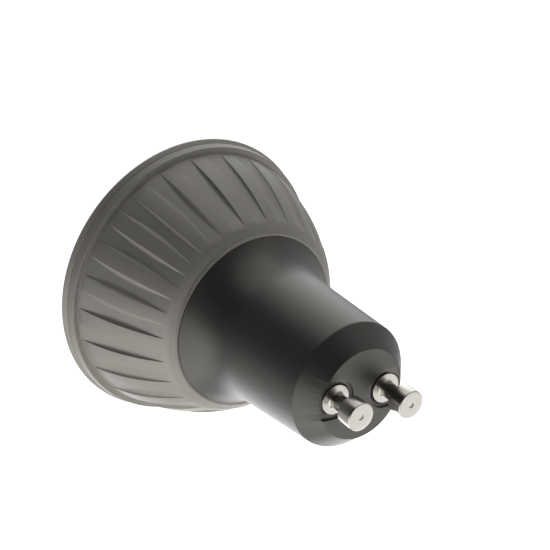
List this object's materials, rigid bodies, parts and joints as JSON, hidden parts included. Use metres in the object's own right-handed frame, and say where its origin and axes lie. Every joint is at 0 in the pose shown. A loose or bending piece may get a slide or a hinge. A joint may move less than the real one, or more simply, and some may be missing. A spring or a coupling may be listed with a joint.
{
  "type": "gu10 led spotlight bulb",
  "caption": "Cone-shaped reflector-size lamp: fluted grey metal head, dark moulded neck with a bevelled end, and two headed contact pins in shallow pockets.",
  "frame": {"origin": "centre of the front face, on which the lamp stands", "axes": "+Z along the lamp's axis from the front face to the contact pins, +X along the line of the two pins"},
  "size_m": [0.05, 0.05, 0.057],
  "materials": {
    "head_paint": "matt grey paint on cast aluminium",
    "neck_plastic": "satin moulded plastic",
    "pin_metal": "turned and nickel plated",
    "clear_plastic": "clear polished plastic",
    "board_white": "white solder resist on a metal board",
    "emitter": "clear silicone over phosphor",
    "pad_grey": "soft filled silicone",
    "screw_steel": "zinc plated",
    "disc_film": "thin amber sheet",
    "board_green": "green solder resist on glass laminate",
    "ferrite": "ground ferrite",
    "bobbin_black": "moulded phenolic",
    "winding_tape": "yellow tape over copper",
    "choke_copper": "enamelled copper wire",
    "can_sleeve": "shrunk sleeve",
    "film_box": "moulded box",
    "resistor_coat": "lacquered film",
    "chip_black": "moulded epoxy",
    "wire_white": "silicone sleeve",
    "wire_red": "silicone sleeve",
    "wire_black": "silicone sleeve"
  },
  "bodies": {
    "root": {"heatsink_housing": "head_paint", "front_bezel": "head_paint", "neck_housing": "neck_plastic", "contact_pin_left": "pin_metal", "contact_pin_right": "pin_metal", "lens_plate": "clear_plastic", "led_board": "board_white", "led_1": "emitter", "led_2": "emitter", "led_3": "emitter", "thermal_pad": "pad_grey", "led_board_screws": "screw_steel", "base_screws": "screw_steel", "insulating_disc": "disc_film", "driver_board": "board_green", "transformer_core_left": "ferrite", "transformer_core_right": "ferrite", "transformer_bobbin": "bobbin_black", "transformer_winding": "winding_tape", "choke_core": "ferrite", "choke_winding": "choke_copper", "smoothing_capacitor": "can_sleeve", "film_capacitor": "film_box", "fusible_resistor": "resistor_coat", "bridge_rectifier": "chip_black", "driver_chip": "chip_black", "output_diode": "chip_black", "supply_wire_left": "wire_white", "supply_wire_right": "wire_white", "led_wire_plus": "wire_red", "led_wire_minus": "wire_black"}
  },
  "joints": []
}
